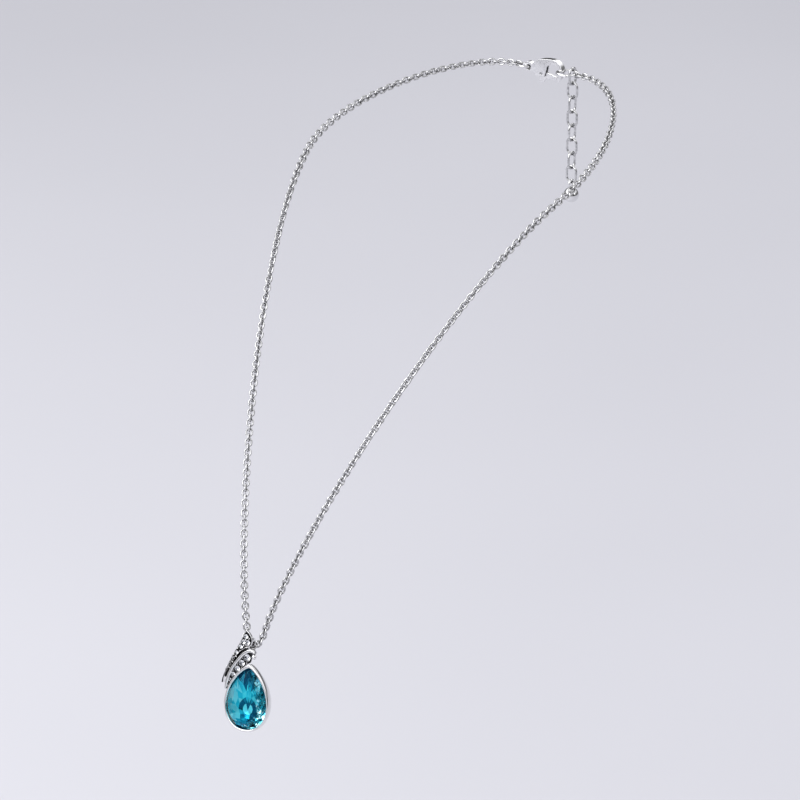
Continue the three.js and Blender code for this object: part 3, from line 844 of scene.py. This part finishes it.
def bail_strap():
    """The tongue that folds from behind the leaf over the chain and runs down to its turned-in foot."""
    path = []
    for k in range(19):
        a = math.pi * (1 - k / 18)
        path.append(Vector((
            BAIL_X, BAIL_CENTRE_Y + BAIL_RADIUS * math.cos(a), BAIL_CENTRE_Z + BAIL_RADIUS * math.sin(a)
        )))
    back = BAIL_CENTRE_Y + BAIL_RADIUS
    corner = 0.5
    path += [Vector((BAIL_X, back, z)) for z in (12.2, 11.5, 10.8, BAIL_FOOT_Z + corner + 0.2)]
    for k in range(7):
        a = math.pi / 2 * k / 6
        y = back - corner + corner * math.cos(a)
        path.append(Vector((BAIL_X, y, BAIL_FOOT_Z + corner - corner * math.sin(a))))
    path += [Vector((BAIL_X, y, BAIL_FOOT_Z)) for y in (-1.4, -2.2, SCROLL_BACK + 0.05)]

    def profile(t):
        return rounded_bar(BAIL_THICK / 2, BAIL_WIDTH / 2 * (1 - 0.12 * t), 3.4, 24)

    across = sweep(path, profile, lambda t, tangent: Vector((0, -tangent.z, tangent.y)))
    return piece("bail_strap", *across, PENDANT, POLISHED)


def ribbon():
    settle(ribbon_plate(), "pendant", "polished_silver", "ribbon_bail")
    settle(bail_strap(), "pendant", "polished_silver")
    settle(ribbon_web(), "pendant", "polished_silver")
    names = [f"ribbon_stone_{i + 1}" for i in range(len(RIBBON_STONES))]
    small_stones("ribbon_stones", RIBBON_STONES, LEAF_FLOOR, 9, names)
    beads = grains("ribbon_grains", RIBBON_STONES, LEAF_FLOOR, 0.42, 0.95, 0.2)
    settle(beads, "pendant", "polished_silver")


# ---- chain ----


def bezier(p0, p1, p2, p3, steps=240):
    out = []
    for i in range(steps + 1):
        t = i / steps
        u = 1 - t
        out.append(p0 * u**3 + p1 * (3 * u * u * t) + p2 * (3 * u * t * t) + p3 * t**3)
    return out


class Path:
    """A line through points that gives the point and direction at a length along it."""

    def __init__(self, points):
        self.points = points
        self.lengths = [0.0]
        for a, b in zip(points, points[1:]):
            self.lengths.append(self.lengths[-1] + (b - a).length)

    def at(self, length):
        low, high = 0, len(self.lengths) - 1
        while high - low > 1:
            middle = (low + high) // 2
            if self.lengths[middle] <= length:
                low = middle
            else:
                high = middle
        span = self.lengths[high] - self.lengths[low]
        share = min(1.0, max(0.0, (length - self.lengths[low]) / span))
        a, b = self.points[low], self.points[high]
        return a.lerp(b, share), (b - a).normalized()


def strand_path(side):
    def at(v):
        return Vector((side * v.x, v.y, v.z))

    neck = at(NECK_SIDE)
    chest = bezier(at(STRAND_FOOT), at(STRAND_AIM), at(Vector((30.8, 45.6, 87.1))), neck)
    leave = (chest[-1] - chest[-2]).normalized() * 21 + neck
    end = at(Vector((NAPE_HALF_SPAN, NAPE.y, NAPE.z)))
    around = bezier(neck, leave, at(Vector((27, NAPE.y, NAPE.z))), end)
    reach = end - Vector((side * LAST_LINK_REACH, 0, 0))
    return Path(chest + around[1:] + [reach])


def apex_path():
    leave = STRAND_FOOT - (STRAND_AIM - STRAND_FOOT).normalized() * 2.2
    right = bezier(Vector((0, 0, APEX_RISE)), Vector((2.6, -0.1, APEX_RISE)), leave, STRAND_FOOT)
    left = [Vector((-p.x, p.y, p.z)) for p in reversed(right)]
    return Path(left + right[1:])


def oval_link(centre, along, normal, length, width, wire, steps=20, sides=8):
    """One closed oval link; normal is square to the link's plane."""
    bend = width / 2 - wire
    straight = length - width
    across = normal.cross(along).normalized()
    path = []
    half = steps // 2
    for end in (1, -1):
        for k in range(half):
            a = math.pi * (k / (half - 1)) - math.pi / 2
            forward = end * (straight / 2 + bend * math.cos(a))
            path.append(centre + along * forward + across * (end * bend * math.sin(a)))
    return sweep(path, lambda t: circle(wire, sides), lambda t, tangent: normal, closed=True)


def chain_runs():
    """The chain from its left end to its right end, as (side, name, path, start, stop, links) per cord."""
    names = ["lower", "middle", "upper", "neck"]
    left, right = [], []
    for side, runs in ((-1, left), (1, right)):
        path = strand_path(side)
        ends = STATIONS + [path.lengths[-1]]
        for name, start, stop in zip(names, ends, ends[1:]):
            count = round((stop - start) / LINK_PITCH)
            runs.append(("left" if side < 0 else "right", name, path, start, stop, count))
    path = apex_path()
    count = round(path.lengths[-1] / LINK_PITCH)
    if (count + sum(run[-1] for run in left + right)) % 2 == 0:
        count += 1  # both end links lie flat, so the sum is odd
    return left[::-1] + [("apex", "apex", path, 0.0, path.lengths[-1], count)] + right


def run_of_links(run, first, dice):
    """One cord's links; first links come before it, and each link stands square to the one before."""
    side, name, path, start, stop, count = run
    pitch = (stop - start) / count
    length = pitch + 4 * LINK_WIRE + LINK_PLAY
    parts = []
    for k in range(count):
        middle = stop - (k + 0.5) * pitch if side == "left" else start + (k + 0.5) * pitch
        centre, along = path.at(middle)
        outward = Vector((centre.x, centre.y - NECK_AXIS_Y, 0))
        outward = (outward - along * outward.dot(along)).normalized()
        to_end = 1.0 if side == "apex" else min(1.0, (path.lengths[-1] - middle) / 12)
        loose = min(1.0, (k + 0.5) * pitch / 3, (count - k - 0.5) * pitch / 3)
        lie = (90 * ((first + k) % 2) + (45 + dice.uniform(-9, 9) * loose) * to_end) * DEG
        normal = Matrix.Rotation(-lie if side == "left" else lie, 3, along) @ outward
        parts.append(oval_link(centre, along, normal, length, LINK_WIDTH, LINK_WIRE))
    return parts


def chain_links():
    """Real interlocked links along the whole chain, each riding on the body of the cord it stands for."""
    dice = random.Random(3)
    made = 0
    for run in chain_runs():
        side, name, count = run[0], run[1], run[-1]
        parts = run_of_links(run, made, dice)
        made += count
        cord = "apex" if side == "apex" else f"{side}_{name}"
        nodes = [n for n in frame["nodes"] if n.startswith(f"chain_{cord}")]
        links = piece(f"links_{cord}", *join_parts(parts), Matrix.Translation(CHAIN_ORIGIN), CHAIN_METAL)
        settle(links, "neck" if name == "neck" else cord, "chain_silver", *nodes)


# ---- clasp and extender ----


def cast_copy(node, name, voxel, material):
    """A soft-edged casting of a CAD node: the same shape with its corners rounded off."""
    source = frame["nodes"][node]
    obj = bpy.data.objects.new(name, source.data.copy())
    bpy.context.scene.collection.objects.link(obj)
    obj.data.materials.clear()
    obj.data.materials.append(material)
    remesh = obj.modifiers.new("remesh", "REMESH")
    remesh.mode = "VOXEL"
    remesh.voxel_size = voxel * MM
    smooth = obj.modifiers.new("smooth", "SMOOTH")
    smooth.factor = 0.5
    smooth.iterations = 6
    apply_modifiers(obj)
    obj.data.polygons.foreach_set("use_smooth", [True] * len(obj.data.polygons))
    return obj


def jump_ring(name, u, radius, wire, cut_angle):
    """A round wire ring bent shut, with the hairline cut where its ends meet."""
    cut = 0.05 / radius
    path = []
    for k in range(73):
        a = cut_angle + cut / 2 + (2 * math.pi - cut) * k / 72
        path.append(Vector((CLASP_EYE_U + u + radius * math.cos(a), radius * math.sin(a), 0)))
    ring = sweep(path, lambda t: circle(wire, 14), lambda t, tangent: Vector((0, 0, 1)))
    return piece(name, *ring, NAPE_FRAME, POLISHED)


def lever_pin():
    half = CLASP_THICK / 2
    profile = [(0.001, half), (0.2, half), (0.27, half - 0.03), (0.3, half - 0.1)]
    profile += [(r, -y) for r, y in reversed(profile)]
    rings = []
    for radius, y in profile:
        rings.append([
            Vector((CLASP_EYE_U + PIVOT_U + radius * c, y, PIVOT_V + radius * s)) for c, s in circle(1, 24)
        ])
    return piece("lever_pin_fine", *loft(rings), NAPE_FRAME, STEEL)


def lever_spring():
    """A coil between the casting and the lever's tail, which in the real clasp presses it shorter as the lever
    turns; here it keeps one length.
    """
    low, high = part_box("clasp_spring")
    middle = (low + high) / 2 / MM
    wire = 0.07
    radius = (high.x - low.x) / 2 / MM - wire
    bottom, top = low.z / MM + wire, high.z / MM - wire
    turns = 4
    path = []
    for k in range(97):
        a = 2 * math.pi * turns * k / 96
        z = bottom + (top - bottom) * k / 96
        path.append(Vector((middle.x + radius * math.cos(a), middle.y + radius * math.sin(a), z)))
    spring = sweep(path, lambda t: circle(wire, 8), lambda t, tangent: Vector((0, 0, 1)))
    return piece("lever_spring_fine", *spring, Matrix.Identity(4), STEEL)


def clasp():
    body = cast_copy("clasp_body", "clasp_casting", 0.07, POLISHED)
    settle(body, "neck", "polished_silver", "clasp_body")
    lever = cast_copy("clasp_lever", "clasp_lever_casting", 0.05, POLISHED)
    settle(lever, "lever", "polished_silver", "clasp_lever")
    settle(lever_pin(), "neck", "spring_steel", "clasp_lever_pin")
    spring = settle(lever_spring(), "neck", "spring_steel", "clasp_spring")
    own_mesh(spring)
    ring = jump_ring("clasp_ring_wire", -CLASP_RING[0], *CLASP_RING, 70 * DEG)
    settle(ring, "neck", "polished_silver", "clasp_ring")
    end = jump_ring("end_ring_wire", END_RING_U, *END_RING, -60 * DEG)
    settle(end, "neck", "polished_silver", "end_ring")


def extender():
    bodies = {n: b for b, nodes in frame["record"]["behaviour"]["bodies"].items() for n in nodes}
    names = [n for n in frame["nodes"] if n.startswith("extender_link_")]
    for name in names:
        low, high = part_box(name)
        centre = (low + high) / 2 / MM
        normal = Vector((1, 0, 0)) if high.x - low.x < high.y - low.y else Vector((0, 1, 0))
        length = EXTENDER_LENGTH + 2 * EXTENDER_WIRE
        width = EXTENDER_WIDTH + 2 * EXTENDER_WIRE
        link = oval_link(centre, Vector((0, 0, 1)), normal, length, width, EXTENDER_WIRE, 40, 12)
        fine = piece(f"{name}_wire", *link, Matrix.Identity(4), CHAIN_METAL)
        settle(fine, bodies[name], "chain_silver", name)


def extender_drop():
    """A round bead with a waisted neck under a wire eye."""
    low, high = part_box("extender_drop")
    x = (low.x + high.x) / 2 / MM
    y = (low.y + high.y) / 2 / MM
    eye_radius, eye_wire = DROP_EYE
    eye_z = high.z / MM - eye_radius - eye_wire
    foot_z = eye_z - eye_radius
    profile = []
    for k in range(1, 25):
        a = -math.pi / 2 + math.pi * 0.93 * k / 24.0
        profile.append((DROP_RADIUS * math.cos(a), foot_z - DROP_RADIUS + DROP_RADIUS * math.sin(a)))
    profile += [(0.42, foot_z - 0.02), (0.36, foot_z + 0.12), (0.2, foot_z + 0.2)]
    rings = []
    for r, z in profile:
        rings.append([Vector((x + r * c, y + r * s, z)) for c, s in circle(1, 40)])
    eye = [Vector((x, y + c, eye_z + s)) for c, s in circle(eye_radius, 40)]
    ring = sweep(eye, lambda t: circle(eye_wire, 12), lambda t, tangent: Vector((1, 0, 0)), closed=True)
    drop = piece("extender_drop_fine", *join_parts([loft(rings), ring]), Matrix.Identity(4), POLISHED)
    settle(drop, "tail_drop", "polished_silver", "extender_drop")


# ---- stage, light and camera, in metres ----

CAMERA_AZIMUTH = 35 * DEG
CAMERA_ELEVATION = 22 * DEG
CAMERA_DISTANCE = 1.167
CAMERA_ASIDE = Vector((0.0452, 0.0238))  # how far right of and above the bail the camera stands
LENS = 215
FLOOR_DROP = 0.118
WALL_LIGHT = [  # brightness against how far round to the front, from 0 behind to 1 in front
    (0.0, 0.16), (0.35, 0.02), (0.55, 0.05), (0.7, 0.3), (0.8, 0.1), (0.87, 0.9), (0.955, 0.95),
    (0.985, 0.1),
]
# brightness against height, from 0 straight down to 1 straight up
CEILING_LIGHT = [(0.0, 0.1), (0.55, 0.0), (0.66, 0.05), (0.74, 0.7), (0.84, 0.9), (0.9, 0.15), (1.0, 0.7)]
WINDOW_AZIMUTH = 25 * DEG
ROOM_STRENGTH = 1.25
BACKDROP = (0.66, 0.66, 0.72, 1)


def stage_floor():
    size = 6.0
    z = joint_point("pendant_sway").z * MM - FLOOR_DROP
    steps = 24
    verts, faces = [], []
    for i in range(steps + 1):
        for j in range(steps + 1):
            verts.append((size * (i / steps - 0.5), size * (j / steps - 0.5), z))
    for i in range(steps):
        for j in range(steps):
            a = i * (steps + 1) + j
            faces.append((a, a + steps + 1, a + steps + 2, a + 1))
    n = Finish("studio_paper")
    n.feed("Base Color", n.ramp(n.noise(1.5, 3), [(0.3, (0.57, 0.57, 0.61)), (0.7, (0.62, 0.62, 0.66))]))
    n.feed("Roughness", 0.95)
    n.feed("Specular IOR Level", 0.05)
    mesh = bpy.data.meshes.new("studio_floor")
    mesh.from_pydata(verts, [], faces)
    mesh.materials.append(n.material)
    floor = bpy.data.objects.new("studio_floor", mesh)
    bpy.context.scene.collection.objects.link(floor)


def world_light():
    """The room that the metal mirrors: a bright window low in front, dark sides and a bright ceiling.
    The camera itself sees a pale backdrop instead."""
    world = bpy.data.worlds.new("studio")
    bpy.context.scene.world = world
    world.use_nodes = True
    world.node_tree.nodes.clear()
    n = Nodes(world.node_tree)

    def level_ramp(value, stops):
        """The brightness at a value that runs from -1 to 1, a little bluer than grey."""
        share = n.add("ShaderNodeMapRange", **{"Value": value, "From Min": -1.0}).outputs["Result"]
        return n.ramp(share, [(at, (level, level, min(1.0, level * 1.03))) for at, level in stops])

    direction = n.add("ShaderNodeTexCoord").outputs["Generated"]
    height = n.add("ShaderNodeSeparateXYZ", Vector=direction).outputs["Z"]
    toward = n.add("ShaderNodeVectorMath", operation="DOT_PRODUCT")
    n.tree.links.new(direction, toward.inputs[0])
    toward.inputs[1].default_value = (-math.sin(WINDOW_AZIMUTH), -math.cos(WINDOW_AZIMUTH), 0)
    walls = level_ramp(toward.outputs["Value"], WALL_LIGHT)
    room = n.mix("ADD", walls, level_ramp(height, CEILING_LIGHT))
    light = n.add("ShaderNodeBackground", Color=room, Strength=ROOM_STRENGTH)
    backdrop = n.add("ShaderNodeBackground", Color=BACKDROP)
    seen = n.add("ShaderNodeMixShader", Fac=n.add("ShaderNodeLightPath").outputs["Is Camera Ray"])
    n.tree.links.new(light.outputs[0], seen.inputs[1])
    n.tree.links.new(backdrop.outputs[0], seen.inputs[2])
    n.add("ShaderNodeOutputWorld", Surface=seen.outputs[0])


def softbox(name, azimuth, elevation, distance, size, power):
    """An area light that faces the necklace from an azimuth measured like the camera's."""
    low, high = CAD_BOX
    target = (low + high) / 2
    a, e = azimuth * DEG, elevation * DEG
    back = Vector((math.sin(a) * math.cos(e), -math.cos(a) * math.cos(e), math.sin(e)))
    data = bpy.data.lights.new(name, "AREA")
    data.shape = "RECTANGLE"
    data.size, data.size_y = size
    data.energy = power
    lamp = bpy.data.objects.new(name, data)
    lamp.location = target + back * distance
    lamp.rotation_mode = "QUATERNION"
    lamp.rotation_quaternion = (-back).to_track_quat("-Z", "Y")
    bpy.context.scene.collection.objects.link(lamp)


def camera():
    a, e = CAMERA_AZIMUTH, CAMERA_ELEVATION
    right = Vector((math.cos(a), math.sin(a), 0))
    up = Vector((-math.sin(a) * math.sin(e), math.cos(a) * math.sin(e), math.cos(e)))
    back = right.cross(up)
    bail = joint_point("pendant_sway") * MM
    data = bpy.data.cameras.new("camera")
    data.sensor_width = 36
    data.lens = LENS
    data.clip_start = 0.01
    view = bpy.data.objects.new("camera", data)
    view.location = bail + right * CAMERA_ASIDE.x + up * CAMERA_ASIDE.y + back * CAMERA_DISTANCE
    low, high = CAD_BOX
    aim = (low + high) / 2 - up * 0.004
    view.rotation_mode = "QUATERNION"
    view.rotation_quaternion = (aim - view.location).to_track_quat("-Z", "Y")
    bpy.context.scene.collection.objects.link(view)
    bpy.context.scene.camera = view


bezel_cup()
centre_crystal()
scroll()
ribbon()
chain_links()
clasp()
extender()
extender_drop()
stage_floor()
world_light()
softbox("key_light", -50, 50, 0.9, (0.7, 0.7), 4.4)
softbox("fill_light", -12, 24, 1.2, (0.8, 0.5), 3.0)
softbox("side_light", 95, 30, 1.2, (0.4, 0.9), 1.2)
softbox("back_light", 170, 45, 1.1, (0.9, 0.4), 1.2)
camera()
bpy.context.scene.view_settings.view_transform = "Standard"
